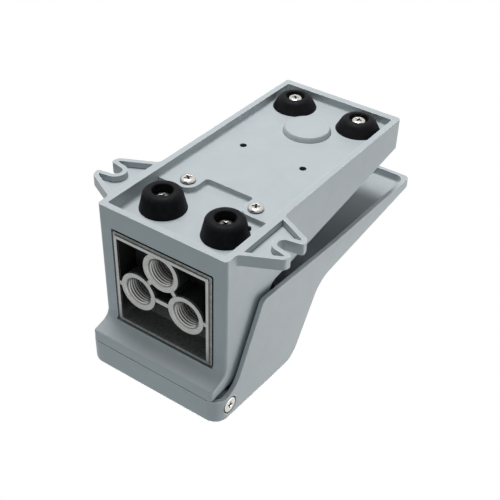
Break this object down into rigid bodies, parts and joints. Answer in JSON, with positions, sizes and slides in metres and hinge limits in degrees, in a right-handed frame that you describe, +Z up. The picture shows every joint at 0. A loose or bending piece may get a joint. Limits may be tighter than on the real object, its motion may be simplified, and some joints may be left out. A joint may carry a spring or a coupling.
{
  "type": "foot pedal air valve",
  "caption": "Foot pedal air valve: a treadle hinged over a cast base works a spring-returned spool valve whose threaded ports face the rear; rubber feet and slotted ears hold it.",
  "frame": {"origin": "on the floor under the middle of the part's bounding box, feet down", "axes": "+Z up, +Y towards the port face and the hinge, -Y towards the pedal's toe, X across the pedal"},
  "size_m": [0.1, 0.166, 0.088],
  "materials": {
    "painted_casting": "smooth pale blue-grey paint on a die casting",
    "raw_casting": "raw die-cast aluminium",
    "turned_aluminium": "turned aluminium",
    "seal_rubber": "nitrile rubber",
    "foot_rubber": "matt black moulded rubber",
    "spring_steel": "drawn steel",
    "bush_brass": "turned brass",
    "sintered_bronze": "porous sintered bronze",
    "nickel_plated_steel": "bright nickel plating"
  },
  "bodies": {
    "base": {"base_housing": "painted_casting", "valve_body": "raw_casting", "bottom_cap": "turned_aluminium", "bottom_cap_seal": "seal_rubber", "snap_ring": "spring_steel", "spool_return_spring": "spring_steel", "guide_bush": "bush_brass", "guide_bush_seal": "seal_rubber", "plunger_wiper": "seal_rubber", "exhaust_silencers": "sintered_bronze", "pivot_screws": "nickel_plated_steel", "pedal_return_spring": "spring_steel", "rear_rubber_feet": "foot_rubber", "toe_rubber_feet": "foot_rubber", "foot_washers": "nickel_plated_steel", "foot_screws": "nickel_plated_steel", "body_screws": "nickel_plated_steel"},
    "pedal": {"pedal": "painted_casting"},
    "spool": {"spool": "turned_aluminium", "spool_seals": "seal_rubber", "plunger": "spring_steel"}
  },
  "joints": [
    {"name": "pedal_hinge", "type": "hinge", "parent": "base", "child": "pedal", "pos_m": [0, 0.07425, 0.077], "axis": [1, 0, 0], "range_deg": [0, 9], "stiffness_Nm_per_rad": 12, "springref_deg": -10.31, "deforming": ["pedal_return_spring"]},
    {"name": "spool_slide", "type": "slide", "parent": "base", "child": "spool", "axis": [0, 0, -1], "range_m": [0, 0.0042], "stiffness_N_per_m": 600, "springref_m": -0.005, "deforming": ["spool_return_spring"]}
  ],
  "couplings": [
    {"joint": "spool_slide", "follows": "pedal_hinge", "m_per_rad": 0.0256}
  ]
}
